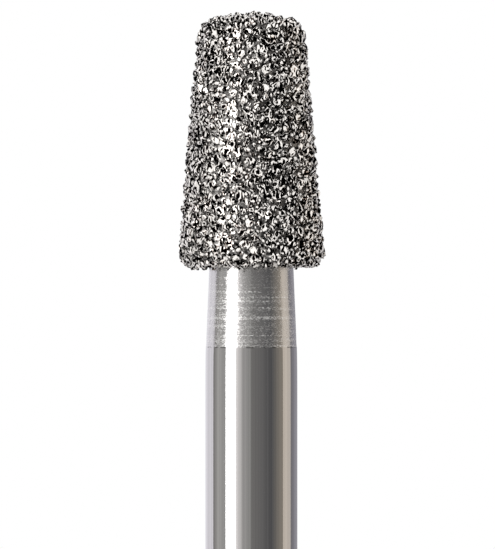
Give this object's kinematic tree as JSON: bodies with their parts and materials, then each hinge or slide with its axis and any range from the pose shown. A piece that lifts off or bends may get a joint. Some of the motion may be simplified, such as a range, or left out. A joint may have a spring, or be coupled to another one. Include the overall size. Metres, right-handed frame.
{
  "type": "dental bur",
  "caption": "Friction-grip rotary bur with a smooth cylindrical shank, a tapered neck and a round-edged tapered head coated in coarse diamond grit.",
  "frame": {"origin": "centre of the flat end face of the shank", "axes": "+Z along the bur's axis from the shank's end to the tip of the head; the bur is round, so +X and +Y are free"},
  "size_m": [0.0026, 0.0026, 0.019],
  "materials": {
    "shank_steel": "gloss",
    "bond_nickel": "satin",
    "grit_diamond": "gloss"
  },
  "bodies": {
    "root": {"steel_blank": "shank_steel", "nickel_bond": "bond_nickel", "diamond_grit": "grit_diamond"}
  },
  "joints": []
}
